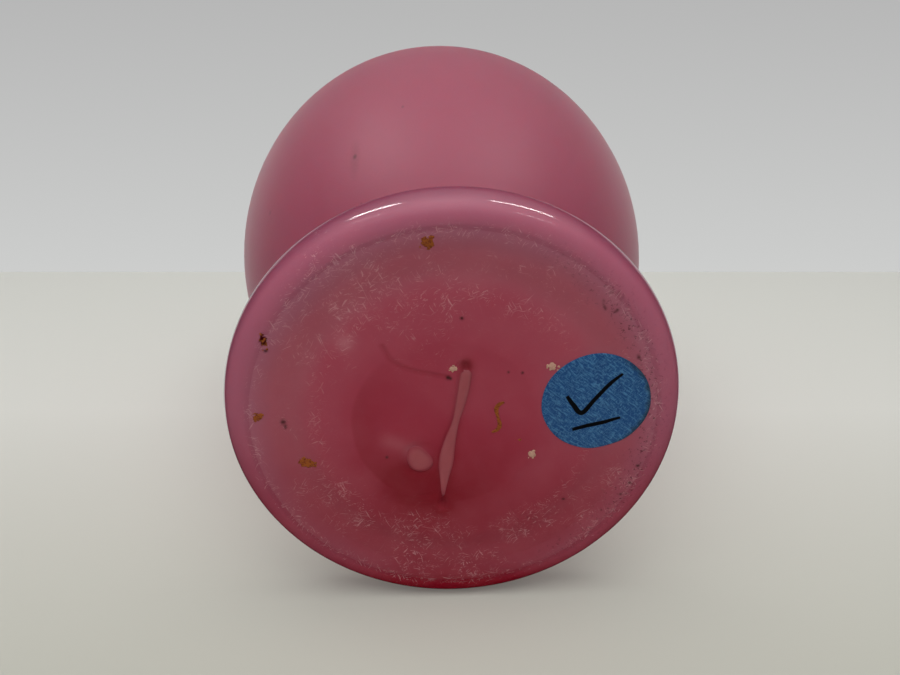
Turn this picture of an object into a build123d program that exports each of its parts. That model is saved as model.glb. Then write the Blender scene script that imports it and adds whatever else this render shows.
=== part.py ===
"""A hand-blown bud vase in cased glass, standing on its foot.

The bowl and neck are one bubble of two layers: a ruby-pink casing outside and an opal lining
inside. Its closed end is welded into a solid foot that was spun from a gather of its own. The
underside of the foot keeps an opal streak and a bead where the gather was pinched off, a small
gilt flourish, gilt and enamel spatter, and a round paper dot with a marker tick.

Millimetres. The origin is the centre of the ring that the foot stands on, and +Z goes up the
axis through the neck. Places on the underside are given in the model's own X and Y.
"""

from build123d import *
from math import cos, pi, radians, sin, sqrt
import os

# ---------------------------------------------------------------- foot
FOOT_RADIUS = 40.7
EDGE_BELOW = 5.5              # height of the foot's widest circle above the table
EDGE_ABOVE = 3.8              # from the widest circle up to the shoulder of the edge
SHOULDER_INSET = 3.6          # how far that shoulder lies inside the widest circle
EDGE_WIDTH = 4.4              # from the widest circle in to the flat ring that touches the table
REST_RING_WIDTH = 1.0
RING_BEVEL = 0.5              # radial width of the bevel inside the resting ring
COLLAR_WIDTH = 2.6            # how far the top of the foot stands out round the stem
COLLAR_RISE = 3.2             # how far the top of the foot climbs from its shoulder

# Height of the dished underside above the table, from the centre outwards.
DISH_CENTRE = 0.95
SCUFF_RING_INSET = 12.2       # how far the scuffed ring lies inside the resting ring
SCUFF_RING_HEIGHT = 0.40
GROOVE_INSET = 7.1            # how far the groove round it lies inside the resting ring
GROOVE_HEIGHT = 0.70
DISH_RIM_HEIGHT = 0.40

# ---------------------------------------------------------------- bowl, stem and neck
BELLY_RADIUS = 51.5
BOWL_HALF_LENGTH = 72.8       # half the length of the ellipse that the bowl follows
BOWL_LOW_ANGLE = 54.0         # where the ellipse starts, in degrees below its widest circle
BOWL_HIGH_ANGLE = 62.0        # where it ends, in degrees above
STEM_RADIUS = 17.2            # where the stem comes out of the foot
WAIST_RADIUS = 15.8
WAIST_CLIMB = 5.2             # from the top of the foot up to the waist
BOWL_CLIMB = 14.3             # from the waist up to where the ellipse starts
SOCKET_FLOOR = 6.2            # underside of the bubble's closed end, inside the foot
NECK_RADIUS = 11.0
NECK_CLIMB = 15.7             # from the end of the ellipse up to the neck
NECK_LENGTH = 16.0
LIP_RADIUS = 22.0             # at the crest of the rim
LIP_CLIMB = 18.0              # from the top of the neck up to the crest of the rim
LIP_SLOPE = 38.0              # angle of the flared lip above the horizontal, in degrees
RIM_ROUND = 1.8               # how far the fire-polished rim is rounded over

# ---------------------------------------------------------------- walls
CASING = 1.5
LINING = 2.0
WALL = CASING + LINING
CASING_BASE = 2.2             # casing under the bubble's closed end
LINING_BASE = 4.2             # lining at the bubble's closed end

# ---------------------------------------------------------------- on the underside
# The opal streak runs along these points, with its half width at each.
STREAK = [(1.95, -9.2, 1.1), (1.2, -4.2, 0.92), (0.2, 0.8, 0.65), (-1.3, 8.0, 1.32), (-1.8, 12.4, 0.7)]
STREAK_HEAD = (2.0, -10.5)
STREAK_TIP = (-1.95, 16.3)
STREAK_DEPTH = 1.2            # how far the streak and bead reach into the glass
BEAD_CENTRE = (-6.2, 8.0)
BEAD_RADII = (2.1, 2.8)
BEAD_TURN = -31.0
DOT_DIAMETER = 19.05
DOT_MARGIN = 0.3              # from the edge of the dot to the bevel of the resting ring
DOT_ANGLE = -8.3              # of the dot's centre from +X, in degrees
DOT_PAPER = 0.15
INK_FILM = 0.05
INK_WIDTH = 0.8
INK_STROKES = [[(-5.2, -1.4), (-2.4, 2.0), (4.2, -5.6)], [(-3.8, 5.4), (4.6, 3.2)]]
FIRED_FILM = 0.12             # thickness of the gilt and enamel, which lie flush in the glass
GILT_WIDTH = 0.62
GILT_WAVE = [(1.0, -3.0), (-0.4, -1.7), (0.0, 0.0), (0.4, 1.7), (-1.0, 3.0)]
GILT_CENTRE = (7.7, -0.6)
# Gilt spots near the edge: angle from +X, distance in from the widest circle, and radius.
GILT_EDGE_SPOTS = [(-97.7, 7.5, 1.5), (-152.6, 5.8, 1.0), (-176.8, 6.8, 1.1), (162.2, 13.5, 1.9)]
# Spots near the middle: X, Y and radius.
GILT_SPECK = (11.7, 4.0, 0.4)
ENAMEL_SPOTS = [(14.0, 6.9, 1.2), (16.6, -10.9, 1.1), (-0.6, -10.6, 0.8)]
SPATTER_CORNERS = 8
SPATTER_UNEVEN = 0.22         # how uneven the edge of a spatter is, as a share of its radius
TOOL_REACH = 3.0              # how far the cutting solids stand out below the foot

# ---------------------------------------------------------------- worked out from the above
SHOULDER_RADIUS = FOOT_RADIUS - SHOULDER_INSET
SHOULDER_HEIGHT = EDGE_BELOW + EDGE_ABOVE
REST_RING_OUTER = FOOT_RADIUS - EDGE_WIDTH
REST_RING_INNER = REST_RING_OUTER - REST_RING_WIDTH
DISH_RADIUS = REST_RING_INNER - RING_BEVEL
FOOT_TOP = SHOULDER_HEIGHT + COLLAR_RISE
WAIST_HEIGHT = FOOT_TOP + WAIST_CLIMB
BELLY_HEIGHT = WAIST_HEIGHT + BOWL_CLIMB + BOWL_HALF_LENGTH * sin(radians(BOWL_LOW_ANGLE))
NECK_LOW = BELLY_HEIGHT + BOWL_HALF_LENGTH * sin(radians(BOWL_HIGH_ANGLE)) + NECK_CLIMB
NECK_HIGH = NECK_LOW + NECK_LENGTH
LIP_HEIGHT = NECK_HIGH + LIP_CLIMB
DOT_RADIUS = DOT_DIAMETER / 2
DOT_REACH = DISH_RADIUS - DOT_MARGIN - DOT_RADIUS
DOT_CENTRE = (DOT_REACH * cos(radians(DOT_ANGLE)), DOT_REACH * sin(radians(DOT_ANGLE)))
LIP_ALONG = Vector(cos(radians(LIP_SLOPE)), 0, sin(radians(LIP_SLOPE)))
LIP_ACROSS = Vector(-sin(radians(LIP_SLOPE)), 0, cos(radians(LIP_SLOPE)))
RIM_CREST = Vector(LIP_RADIUS, 0, LIP_HEIGHT)


def at(radius, height):
    """A point of a profile. Profiles lie in the XZ plane and are turned round Z."""
    return Vector(radius, 0, height)


def quarter(start, corner, end):
    """A quarter of an ellipse from start to end, inside the corner between them."""
    return Bezier(start, corner, end, weights=[1, sqrt(0.5), 1])


def turned(edges):
    """The solid that these edges enclose when they go once round Z."""
    return revolve(make_face(Wire(edges)), Axis.Z, 360)


# ---------------------------------------------------------------- bubble
def bowl_point(angle, depth):
    """A point at this angle of the bowl's ellipse, this deep in the wall."""
    radius = (BELLY_RADIUS - depth) * cos(angle)
    height = (BOWL_HALF_LENGTH - depth) * sin(angle)
    return at(radius, BELLY_HEIGHT + height)


def bowl_direction(angle, depth):
    """The way that the bowl's ellipse goes at this angle, upwards."""
    return at(-(BELLY_RADIUS - depth) * sin(angle), (BOWL_HALF_LENGTH - depth) * cos(angle))


def bubble_surface(depth, floor, end):
    """Edges of one surface of the bubble, from the axis at the floor up to its end at the rim."""
    low = radians(-BOWL_LOW_ANGLE)
    high = radians(BOWL_HIGH_ANGLE)
    middle = (low + high) / 2
    half = (high - low) / 2
    stem = STEM_RADIUS - depth
    corner = (bowl_point(middle, depth) - at(0, BELLY_HEIGHT)) * (1 / cos(half)) + at(0, BELLY_HEIGHT)
    closed_end = quarter(at(0, floor), at(stem, floor), at(stem, FOOT_TOP))
    waist = Spline(
        [at(stem, FOOT_TOP), at(WAIST_RADIUS - depth, WAIST_HEIGHT), bowl_point(low, depth)],
        tangents=[at(0, 1), bowl_direction(low, depth)],
    )
    bowl = Bezier(bowl_point(low, depth), corner, bowl_point(high, depth), weights=[1, cos(half), 1])
    neck_low = at(NECK_RADIUS - depth, NECK_LOW)
    neck_high = at(NECK_RADIUS - depth, NECK_HIGH)
    neck = Spline(
        [bowl_point(high, depth), neck_low, neck_high, end],
        tangents=[bowl_direction(high, depth), LIP_ALONG],
    )
    return [closed_end, waist, bowl, neck]


def lip_end(depth):
    """Where the surface this deep in the lip's wall stops and the rounded rim begins."""
    return RIM_CREST - LIP_ALONG * RIM_ROUND - LIP_ACROSS * (CASING - depth)


OUTER = bubble_surface(0, SOCKET_FLOOR, lip_end(0))
BETWEEN = bubble_surface(CASING, SOCKET_FLOOR + CASING_BASE, RIM_CREST)
INNER_FLOOR = SOCKET_FLOOR + CASING_BASE + LINING_BASE


def inner_surface():
    """Edges of the surface inside the bubble, whose closed end rounds up to the waist."""
    low = radians(-BOWL_LOW_ANGLE)
    surface = bubble_surface(WALL, INNER_FLOOR, lip_end(WALL))
    closed_end = Spline(
        [at(0, INNER_FLOOR), at(WAIST_RADIUS - WALL, WAIST_HEIGHT), bowl_point(low, WALL)],
        tangents=[at(1, 0), bowl_direction(low, WALL)],
    )
    return [closed_end] + surface[2:]


INNER = inner_surface()


def body_casing():
    """The ruby-pink outer layer, round the closed end and up to the crest of the rim."""
    rim = quarter(lip_end(0), RIM_CREST - LIP_ACROSS * CASING, RIM_CREST)
    axis = Line(at(0, SOCKET_FLOOR + CASING_BASE), at(0, SOCKET_FLOOR))
    return turned(OUTER + [rim] + BETWEEN + [axis])


def opal_lining():
    """The opal inner layer, which holds the water and shows white down the mouth."""
    rim = quarter(lip_end(WALL), RIM_CREST + LIP_ACROSS * LINING, RIM_CREST)
    axis = Line(at(0, INNER_FLOOR), at(0, SOCKET_FLOOR + CASING_BASE))
    return turned(BETWEEN + [rim] + INNER + [axis])


def closed_bubble():
    """The bubble's closed end as one solid, to cut its socket in the foot."""
    top = Line(OUTER[0] @ 1, at(0, FOOT_TOP))
    axis = Line(at(0, FOOT_TOP), at(0, SOCKET_FLOOR))
    return turned([OUTER[0], top, axis])


# ---------------------------------------------------------------- foot
def underside():
    """The dished underside, from the axis out to the bevel at the resting ring."""
    scuff_ring = at(REST_RING_INNER - SCUFF_RING_INSET, SCUFF_RING_HEIGHT)
    groove = at(REST_RING_INNER - GROOVE_INSET, GROOVE_HEIGHT)
    rim = at(DISH_RADIUS, DISH_RIM_HEIGHT)
    return Spline([at(0, DISH_CENTRE), scuff_ring, groove, rim], tangents=[at(1, 0), at(1, -0.1)])


def lower_surface():
    """Edges of everything on the foot that faces the table, from the axis to the widest circle."""
    bevel = Line(underside() @ 1, at(REST_RING_INNER, 0))
    ring = Line(at(REST_RING_INNER, 0), at(REST_RING_OUTER, 0))
    edge = quarter(at(REST_RING_OUTER, 0), at(FOOT_RADIUS, 0), at(FOOT_RADIUS, EDGE_BELOW))
    return [underside(), bevel, ring, edge]


def foot_blank():
    """The foot as it was spun, before its socket and its inclusions are cut."""
    shoulder = at(SHOULDER_RADIUS, SHOULDER_HEIGHT)
    edge = quarter(at(FOOT_RADIUS, EDGE_BELOW), at(FOOT_RADIUS, SHOULDER_HEIGHT), shoulder)
    collar = at(STEM_RADIUS + COLLAR_WIDTH, SHOULDER_HEIGHT + COLLAR_RISE / 2)
    top = Spline([shoulder, collar, at(STEM_RADIUS, FOOT_TOP)], tangents=[at(-1, 0), at(-0.35, 1)])
    inside = Line(at(STEM_RADIUS, FOOT_TOP), at(0, FOOT_TOP))
    axis = Line(at(0, FOOT_TOP), at(0, DISH_CENTRE))
    return turned(lower_surface() + [edge, top, inside, axis])


def air_under_foot():
    """The space between the foot's lower surface and a plane well below the table."""
    side = Line(at(FOOT_RADIUS, EDGE_BELOW), at(FOOT_RADIUS, -TOOL_REACH))
    base = Line(at(FOOT_RADIUS, -TOOL_REACH), at(0, -TOOL_REACH))
    axis = Line(at(0, -TOOL_REACH), at(0, DISH_CENTRE))
    return turned(lower_surface() + [side, base, axis])


def layer_on_foot(start, thickness):
    """A skin that follows the lower surface, from this far below it down by its thickness."""
    air = air_under_foot()
    return air.moved(Pos(0, 0, -start)) - air.moved(Pos(0, 0, -start - thickness))


# ---------------------------------------------------------------- what lies in the underside
def punch(outline, height):
    """A prism on this outline, from well below the table up to this height."""
    return extrude(Pos(0, 0, -TOOL_REACH) * outline, amount=TOOL_REACH + height)


def streak_outline():
    """The streak's outline: a ribbon whose width changes along its points."""
    left = []
    right = []
    for index, (x, y, half_width) in enumerate(STREAK):
        before = STREAK[max(index - 1, 0)]
        after = STREAK[min(index + 1, len(STREAK) - 1)]
        along = Vector(after[0] - before[0], after[1] - before[1]).normalized()
        side = Vector(-along.Y, along.X) * half_width
        left.append(Vector(x, y) + side)
        right.append(Vector(x, y) - side)
    around = [Vector(*STREAK_HEAD)] + left + [Vector(*STREAK_TIP)] + right[::-1]
    return make_face(Spline(around, periodic=True))


def bead_outline():
    """The bead's outline: a turned ellipse."""
    return Pos(*BEAD_CENTRE) * Rot(0, 0, BEAD_TURN) * Ellipse(*BEAD_RADII)


def spatter_outline(x, y, radius):
    """A round fleck with an uneven edge, worked out from its own place."""
    points = []
    for corner in range(SPATTER_CORNERS):
        turn = 2 * pi * corner / SPATTER_CORNERS
        reach = radius * (1 + SPATTER_UNEVEN * sin(2.7 * x + 1.9 * y + 5.3 * corner))
        points.append(Vector(x + reach * cos(turn), y + reach * sin(turn)))
    return make_face(Spline(points, periodic=True))


def edge_spot_outline(angle, inset, radius):
    """A fleck at this angle, this far inside the foot's widest circle."""
    reach = FOOT_RADIUS - inset
    return spatter_outline(reach * cos(radians(angle)), reach * sin(radians(angle)), radius)


def pen_stroke(points, width, centre):
    """A stroke of one width along smooth points, with round ends, about its centre."""
    path = Spline([Vector(x, y) for x, y in points])
    return Pos(*centre) * trace(path, line_width=width)


def ink_outline():
    """The marker strokes on the paper dot: a tick over a short line, with round ends."""
    sketch = Sketch()
    for stroke in INK_STROKES:
        sketch += trace(Polyline(stroke), line_width=INK_WIDTH)
        for x, y in stroke:
            sketch += Pos(x, y) * Circle(INK_WIDTH / 2)
    return Pos(*DOT_CENTRE) * sketch


def deep_pockets():
    """Cutters for the streak and the bead, which reach into the glass from below."""
    top = DISH_CENTRE + STREAK_DEPTH
    return {"pinch_streak": [punch(streak_outline(), top)], "pinch_bead": [punch(bead_outline(), top)]}


def fired_pockets():
    """Cutters for the thin fired colours, which lie flush with the underside."""
    raised_air = air_under_foot().moved(Pos(0, 0, FIRED_FILM))
    gilt = [edge_spot_outline(*spot) for spot in GILT_EDGE_SPOTS] + [spatter_outline(*GILT_SPECK)]
    outlines = {
        "gilt_flourish": [pen_stroke(GILT_WAVE, GILT_WIDTH, GILT_CENTRE)],
        "gilt_spatter": gilt,
        "enamel_spatter": [spatter_outline(*spot) for spot in ENAMEL_SPOTS],
    }
    cutters = {}
    for name, group in outlines.items():
        cutters[name] = [punch(drawn, EDGE_BELOW) & raised_air for drawn in group]
    return cutters


def build():
    """Every piece of the vase by name."""
    pieces = {"body_casing": body_casing(), "opal_lining": opal_lining()}
    blank = foot_blank()
    foot = blank - closed_bubble()
    for name, cutters in (deep_pockets() | fired_pockets()).items():
        pieces[name] = Compound([solid for cutter in cutters for solid in (cutter & blank).solids()])
        for cutter in cutters:
            foot -= cutter
    pieces["foot"] = foot
    paper = punch(Pos(*DOT_CENTRE) * Circle(DOT_RADIUS), EDGE_BELOW)
    pieces["price_dot"] = paper & layer_on_foot(0, DOT_PAPER)
    pieces["dot_tick"] = punch(ink_outline(), EDGE_BELOW) & layer_on_foot(DOT_PAPER, INK_FILM)
    return pieces


os.makedirs("parts", exist_ok=True)
for node, shape in build().items():
    export_step(shape, f"parts/{node}.step")
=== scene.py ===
"""The look of a hand-blown bud vase in cased glass: its materials, and the worked surface of its foot.

Sizes in this script are millimetres in the CAD model's own frame, with the vase upright on its foot,
and become metres where a mesh is made. The vase is seen lying on its side on a table, from behind
its foot, so the table, the lights and the camera are placed in the table's frame: X to the right,
Y away from the camera, Z up. LYING carries that frame into the vase's own.
"""

import math

import bmesh
import bpy
import numpy as np
from mathutils import Matrix, Vector, noise


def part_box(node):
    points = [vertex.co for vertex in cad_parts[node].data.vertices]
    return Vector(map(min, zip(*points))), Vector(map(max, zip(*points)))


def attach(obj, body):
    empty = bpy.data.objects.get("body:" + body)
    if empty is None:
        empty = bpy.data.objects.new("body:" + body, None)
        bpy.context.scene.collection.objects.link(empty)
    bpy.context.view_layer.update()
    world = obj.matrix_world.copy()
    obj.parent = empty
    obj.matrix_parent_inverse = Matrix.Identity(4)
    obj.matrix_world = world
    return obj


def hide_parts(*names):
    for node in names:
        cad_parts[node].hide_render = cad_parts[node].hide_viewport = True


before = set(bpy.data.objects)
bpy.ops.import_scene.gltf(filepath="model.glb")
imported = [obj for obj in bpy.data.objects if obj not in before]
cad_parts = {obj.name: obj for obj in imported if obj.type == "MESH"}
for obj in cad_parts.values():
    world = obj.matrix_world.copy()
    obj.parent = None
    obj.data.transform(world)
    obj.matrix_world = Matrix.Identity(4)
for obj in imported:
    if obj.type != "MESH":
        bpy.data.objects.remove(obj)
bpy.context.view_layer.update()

MM = 0.001
ROOT = "root"

# ---------------------------------------------------------------- foot, from the frame
FOOT_LOW, FOOT_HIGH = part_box("foot")
FOOT_RADIUS = (FOOT_HIGH.x - FOOT_LOW.x) / 2 / MM
FOOT_TOP = FOOT_HIGH.z / MM
SOCKET_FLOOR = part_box("body_casing")[0].z / MM
EDGE_BELOW = 5.5
EDGE_ABOVE = 3.8
SHOULDER_INSET = 3.6
REST_RING_INNER = 35.3
REST_RING_OUTER = 36.3
WORN_BEVEL = 3.6
STEM_RADIUS = 17.2
COLLAR_WIDTH = 2.6
DISH_CENTRE = 0.95
DISH_RIM = 0.40
SCUFF_RING = 23.1
GROOVE_RING = 28.2
GROOVE_RISE = 0.30
GROOVE_SPREAD = 2.6

# ---------------------------------------------------------------- colours of the glass and of the shade painted on it, sRGB
MAUVE_RIM = (178, 100, 122)
RIM_EDGE_SHADE = (132, 58, 84)
GROOVE_PINK = (181, 86, 103)
DISH_PINK = (183, 71, 92)
HEART_CRIMSON = (175, 44, 70)
DEEP_RUBY_AND_SHADE = (144, 4, 32)
SATIN_DEEP = (178, 66, 90)
SATIN_PALE = (184, 73, 97)

# ---------------------------------------------------------------- marks on the underside
STREAK = [
    (2.0, -10.0, 0.45), (1.95, -9.0, 1.0), (1.25, -4.4, 0.92), (0.3, 0.2, 0.62), (-0.75, 4.6, 1.05),
    (-1.4, 8.6, 1.32), (-1.75, 12.6, 0.72), (-1.95, 16.2, 0.20),
]
STREAK_HEAD = (1.9, -11.0)
STREAK_TIP = (-1.9, 17.5)
BEAD_CENTRE = (-6.2, 8.0)
BEAD_RADII = (2.15, 2.8)
BEAD_TURN = math.radians(-31)
BEAD_TAIL = [(-7.0, 6.6), (-9.4, 4.9), (-11.4, 4.0)]
FOLD = [(-12.2, -15.0), (-10.6, -12.2), (-7.6, -10.4), (-4.2, -9.5), (-1.0, -8.7)]
WRINKLES = 4
WELD_CENTRE = (-1.4, 0.6)
WELD_RADIUS = 16.4
DOT_CENTRE = (24.71, -3.60)
DOT_RADIUS = 19.05 / 2
DOT_PAPER = 0.15
INK_STROKES = [
    [(-5.2, -1.4, 0.30), (-4.0, 0.3, 0.42), (-2.4, 2.0, 0.46), (-0.4, -0.5, 0.40), (2.0, -3.4, 0.38),
     (4.2, -5.6, 0.22)],
    [(-3.8, 5.4, 0.34), (-1.0, 4.6, 0.40), (2.0, 4.0, 0.38), (4.6, 3.2, 0.24)],
]
GILT_WAVE = [(1.0, -3.1, 0.22), (0.1, -2.6, 0.36), (-0.35, -1.6, 0.38), (0.0, 0.0, 0.26), (0.35, 1.6, 0.38),
             (-0.1, 2.6, 0.34), (-1.0, 3.1, 0.2)]
GILT_CENTRE = (7.7, -0.6)
# Flecks of fired colour: place, reach, and how far each is drawn out and in which direction.
GILT_SPATTER = [
    (-4.5, -33.3, 1.45, 1.25, 0.2), (-31.6, -16.5, 1.0, 1.9, 1.5), (-34.0, -1.7, 0.95, 1.7, -0.7),
    (-26.3, 8.5, 1.7, 1.3, 0.4), (11.7, 4.1, 0.38, 1.0, 0.0),
]
ENAMEL_SPATTER = [(14.0, 7.1, 1.05, 1.0, 0.0), (16.6, -10.8, 1.05, 1.2, 0.3), (-0.3, -10.4, 0.72, 1.5, 0.0)]
# Dark specks in the glass: place and radius.
SPECKS = [
    (1.1, -20.0, 0.27), (-12.0, 7.3, 0.24), (-29.8, -0.4, 0.42), (-29.5, 0.6, 0.3), (-1.1, -8.7, 0.36),
    (-0.7, -8.5, 0.26), (31.2, -12.6, 0.3), (32.6, -14.8, 0.25), (33.4, 9.6, 0.28), (32.2, 13.4, 0.3),
    (30.9, 15.8, 0.25), (-31.4, -14.6, 0.26), (9.2, -9.7, 0.2), (11.6, -9.6, 0.22), (20.4, 17.2, 0.25),
]
STAIN_RING = (25.9, -22.8, 1.6)
# Scuffed patches of the underside: place, reach and strength.
SCUFFS = [
    (-17.5, -25.5, 7.0, 1.0), (-24.5, -13.5, 5.0, 0.65), (-26.0, 0.0, 4.0, 0.4), (-23.5, 13.5, 4.5, 0.75),
    (-18.0, 20.5, 4.0, 0.7), (-6.5, 24.5, 5.5, 0.7), (4.0, 32.0, 4.5, 0.8), (13.5, 23.0, 3.2, 1.0),
    (24.0, 20.0, 5.0, 0.45), (30.0, 12.0, 4.0, 0.5), (31.0, -13.0, 5.0, 0.45), (-3.0, -27.0, 8.0, 0.45),
    (15.0, -26.0, 8.0, 0.3), (-8.5, 32.0, 5.0, 0.5), (-5.0, -14.0, 5.0, 0.25),
]
# Marks on the bowl: place, and reach along X, Y and Z.
BOWL_MARKS = [
    ((-18.8, -35.6, 45.9), (0.5, 1.0, 0.8), 0.85), ((-18.8, -35.2, 45.6), (1.0, 5.0, 4.6), 0.22),
    ((-9.0, -44.0, 55.4), (0.3, 0.5, 0.5), 0.5), ((-38.6, -21.5, 53.6), (0.5, 0.6, 0.6), 0.3),
    ((-17.2, -28.7, 35.6), (0.3, 0.5, 0.4), 0.5),
]

# ---------------------------------------------------------------- how the vase lies on the table
LENS_MM = 32.88
SENSOR_MM = 36.0
CAMERA_HEIGHT = 98.8
CAMERA_PITCH = math.radians(18.234)
FOOT_ASIDE = 0.57
FOOT_AHEAD = 137.28
LIE_YAW = math.radians(-2.063)
LIE_TILT = math.radians(7.858)
TABLE_START = -60.0
TABLE_END = 406.0
TABLE_HALF_WIDTH = 420.0
BACKDROP_GAP = 190.0
BACKDROP_LOW = -220.0
BACKDROP_HIGH = 190.0
FLOOR_HALF_WIDTH = 900.0
CEILING_HALF_WIDTH = 2400.0
LAMP_DISTANCE = 1200.0
SOFTBOX_POWER = 5.3
CEILING_GLOW = 1.5
TABLE_GLOW = 0.12
ROOM_GLOW = 0.44


def lying_matrix():
    """Carries a point of the table's frame, in metres, into the vase's own frame."""
    axis = Vector((
        math.sin(LIE_YAW) * math.cos(LIE_TILT), math.cos(LIE_YAW) * math.cos(LIE_TILT), math.sin(LIE_TILT)
    ))
    right = axis.cross(Vector((0, 0, 1))).normalized()
    down = axis.cross(right)
    rim_centre = Vector((FOOT_ASIDE, FOOT_AHEAD, FOOT_RADIUS * math.cos(LIE_TILT)))
    origin = (rim_centre - axis * EDGE_BELOW) * MM
    turn = Matrix((right, down, axis))
    return turn.to_4x4() @ Matrix.Translation(-origin)


LYING = lying_matrix()


# ---------------------------------------------------------------- numbers
def smooth_step(low, high, value):
    """0 below low, 1 above high, smooth between them."""
    share = np.clip((value - low) / (high - low), 0, 1)
    return share * share * (3 - 2 * share)


def bell(distance, spread):
    """A bell curve of this spread round zero distance."""
    return np.exp(-(distance / spread) ** 2)


def noise_at(x, y, scale, seed=0.0):
    """Smooth noise from -1 to 1 over a plane, with features of this scale."""
    flat_x, flat_y = np.ravel(x), np.ravel(y)
    values = [noise.noise(Vector((a / scale, b / scale, seed))) for a, b in zip(flat_x, flat_y)]
    return np.array(values).reshape(np.shape(x))


def smooth_path(points, steps):
    """Points along a Catmull-Rom curve through these points, which may carry a width too."""
    table = np.array(points, float)
    padded = np.vstack([2 * table[0] - table[1], table, 2 * table[-1] - table[-2]])
    out = []
    for index in range(len(table) - 1):
        a, b, c, d = padded[index:index + 4]
        for t in np.linspace(0, 1, steps, endpoint=False):
            out.append(0.5 * (2 * b + (c - a) * t + (2 * a - 5 * b + 4 * c - d) * t ** 2
                              + (3 * b - a - 3 * c + d) * t ** 3))
    out.append(table[-1])
    return np.array(out)


def distance_to_path(x, y, path):
    """Distance from each point to a path, and the path's own values at the nearest place."""
    best = np.full(np.shape(x), 1e9)
    nearest = np.zeros(np.shape(x) + (path.shape[1],))
    for start, end in zip(path[:-1], path[1:]):
        run = end[:2] - start[:2]
        share = ((x - start[0]) * run[0] + (y - start[1]) * run[1]) / max(run @ run, 1e-9)
        share = np.clip(share, 0, 1)
        gap = np.hypot(x - start[0] - share * run[0], y - start[1] - share * run[1])
        closer = gap < best
        best = np.where(closer, gap, best)
        here = start + share[..., None] * (end - start)
        nearest = np.where(closer[..., None], here, nearest)
    return best, nearest


# ---------------------------------------------------------------- the foot's underside
STREAK_PATH = smooth_path(STREAK, 8)
FOLD_PATH = smooth_path(FOLD, 6)


def relief(x, y):
    """How far the worked glass rises above the plain dish, in millimetres: folds, dimples, waves."""
    radius = np.hypot(x, y)
    gap, nearest = distance_to_path(x, y, STREAK_PATH)
    rise = 0.09 * bell(gap - nearest[..., 2], 0.30)
    rise = rise + 0.55 * bell(np.hypot(x - STREAK_HEAD[0], y - STREAK_HEAD[1]), 0.95)
    rise = rise + 0.75 * bell(np.hypot((x - STREAK_TIP[0]) * 1.5, y - STREAK_TIP[1]), 1.15)
    bead = np.hypot(x - BEAD_CENTRE[0], y - BEAD_CENTRE[1])
    rise = rise + 0.14 * bell(bead - 2.9, 0.7)
    fold_gap, _ = distance_to_path(x, y, FOLD_PATH)
    rise = rise + 0.08 * bell(fold_gap, 0.32)
    for wrinkle in range(WRINKLES):
        arc = np.hypot(x + 5.6, (y - 8.8) * 1.15) - (7.9 + 0.8 * wrinkle)
        window = bell(x + 5.4, 2.9) * smooth_step(13.0, 15.5, y)
        rise = rise + 0.07 * bell(arc, 0.18) * window
    rise = rise - 0.05 * bell(np.hypot(x - WELD_CENTRE[0], y - WELD_CENTRE[1]) - WELD_RADIUS, 0.9)
    wave = 0.07 * noise_at(x, y, 11.0, 3.0) + 0.02 * noise_at(x, y, 3.1, 8.0)
    inside = 1 - smooth_step(REST_RING_INNER - 3.5, REST_RING_INNER - 1.0, radius)
    return (rise + wave) * inside


def dish_height(radius):
    """Height of the plain dished underside above the table."""
    bowl = DISH_RIM + (DISH_CENTRE - DISH_RIM) * (1 - smooth_step(0, SCUFF_RING, radius))
    bowl = bowl + GROOVE_RISE * bell(radius - GROOVE_RING, GROOVE_SPREAD)
    bowl = bowl * (1 - smooth_step(REST_RING_INNER - WORN_BEVEL, REST_RING_INNER, radius))
    across = np.clip((radius - REST_RING_OUTER) / (FOOT_RADIUS - REST_RING_OUTER), 0, 1)
    return np.where(radius > REST_RING_OUTER, EDGE_BELOW * (1 - np.sqrt(1 - across ** 2)), bowl)


def underside_height(x, y):
    """Height of the finished underside above the table at each place."""
    return dish_height(np.hypot(x, y)) + relief(x, y)


# ---------------------------------------------------------------- meshes
RIBBON_COLUMNS = 9


def make_object(name, points, faces, material, replaced):
    """An object on the vase's one body, from points in millimetres, in place of a CAD node."""
    mesh = bpy.data.meshes.new(name)
    mesh.from_pydata([tuple(p) for p in np.asarray(points) * MM], [], faces)
    shell = bmesh.new()
    shell.from_mesh(mesh)
    bmesh.ops.recalc_face_normals(shell, faces=shell.faces)
    shell.to_mesh(mesh)
    shell.free()
    mesh.polygons.foreach_set("use_smooth", [True] * len(mesh.polygons))
    mesh.materials.append(material)
    piece = bpy.data.objects.new(name, mesh)
    bpy.context.scene.collection.objects.link(piece)
    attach(piece, ROOT)
    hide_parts(replaced)
    return piece


def add_value(mesh, name, values):
    """A number at each point of a mesh, for its material to read."""
    attribute = mesh.attributes.new(name, "FLOAT", "POINT")
    attribute.data.foreach_set("value", np.asarray(values, np.float32))


def add_colour(mesh, name, colours):
    """A linear colour at each point of a mesh, for its material to read."""
    attribute = mesh.attributes.new(name, "FLOAT_COLOR", "POINT")
    opaque = np.concatenate([colours, np.ones((len(colours), 1))], 1)
    attribute.data.foreach_set("color", opaque.astype(np.float32).ravel())


def ring_faces(rings, sides):
    """Quads between rings of points, all of one count, which close round on themselves."""
    faces = []
    for ring in range(rings - 1):
        low, high = ring * sides, (ring + 1) * sides
        for side in range(sides):
            after = (side + 1) % sides
            faces.append((low + side, low + after, high + after, high + side))
    return faces


def turned_points(profile, sides):
    """Rings of points, one for each (radius, height) of the profile."""
    turn = np.arange(sides) * 2 * math.pi / sides
    radius = np.array([p[0] for p in profile])[:, None]
    height = np.array([p[1] for p in profile])[:, None]
    x, y = radius * np.cos(turn), radius * np.sin(turn)
    return x, y, height + 0 * turn


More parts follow.
